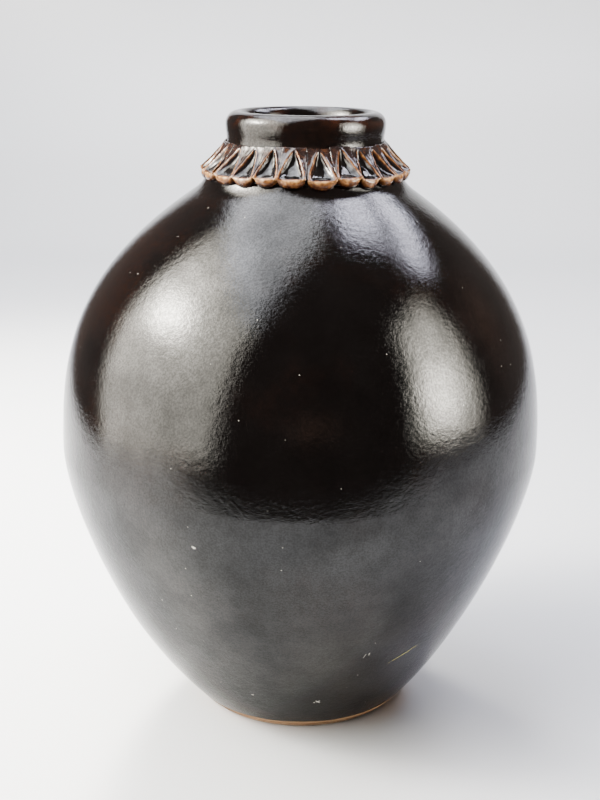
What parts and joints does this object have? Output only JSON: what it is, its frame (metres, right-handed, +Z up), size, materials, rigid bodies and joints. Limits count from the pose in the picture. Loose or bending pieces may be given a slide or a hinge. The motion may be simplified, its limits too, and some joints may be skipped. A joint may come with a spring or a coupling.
{
  "type": "black glazed clay pot",
  "caption": "Round-bellied stoneware jar with a glossy black-brown glaze, a short neck with a rolled lip, a collar of pressed petals and a bare clay foot.",
  "frame": {"origin": "centre of the foot, on the surface that the jar stands on", "axes": "+Z up along the jar's axis, towards the mouth; -Y is the side seen from the front, where two petals have a gap between them"},
  "size_m": [0.2384, 0.2384, 0.3],
  "materials": {
    "black_glaze": "glossy black-brown glaze with a fine orange-peel surface, pinholes and light scuffs",
    "thin_glaze": "the same glaze where it runs thin over sharp edges and breaks to rust, copper and cream",
    "bare_clay": "matt unglazed buff stoneware with a fine grit"
  },
  "bodies": {
    "root": {"foot_ring": "bare_clay", "floor_disc": "black_glaze", "lower_body": "black_glaze", "upper_body": "black_glaze", "neck": "black_glaze", "collar": "black_glaze", "rim": "black_glaze", "frill_band": "thin_glaze", "petal_01": "thin_glaze", "petal_02": "thin_glaze", "petal_03": "thin_glaze", "petal_04": "thin_glaze", "petal_05": "thin_glaze", "petal_06": "thin_glaze", "petal_07": "thin_glaze", "petal_08": "thin_glaze", "petal_09": "thin_glaze", "petal_10": "thin_glaze", "petal_11": "thin_glaze", "petal_12": "thin_glaze", "petal_13": "thin_glaze", "petal_14": "thin_glaze", "petal_15": "thin_glaze", "petal_16": "thin_glaze", "petal_17": "thin_glaze", "petal_18": "thin_glaze", "petal_19": "thin_glaze", "petal_20": "thin_glaze", "petal_21": "thin_glaze", "petal_22": "thin_glaze", "petal_23": "thin_glaze", "petal_24": "thin_glaze", "petal_25": "thin_glaze", "petal_26": "thin_glaze"}
  },
  "joints": []
}
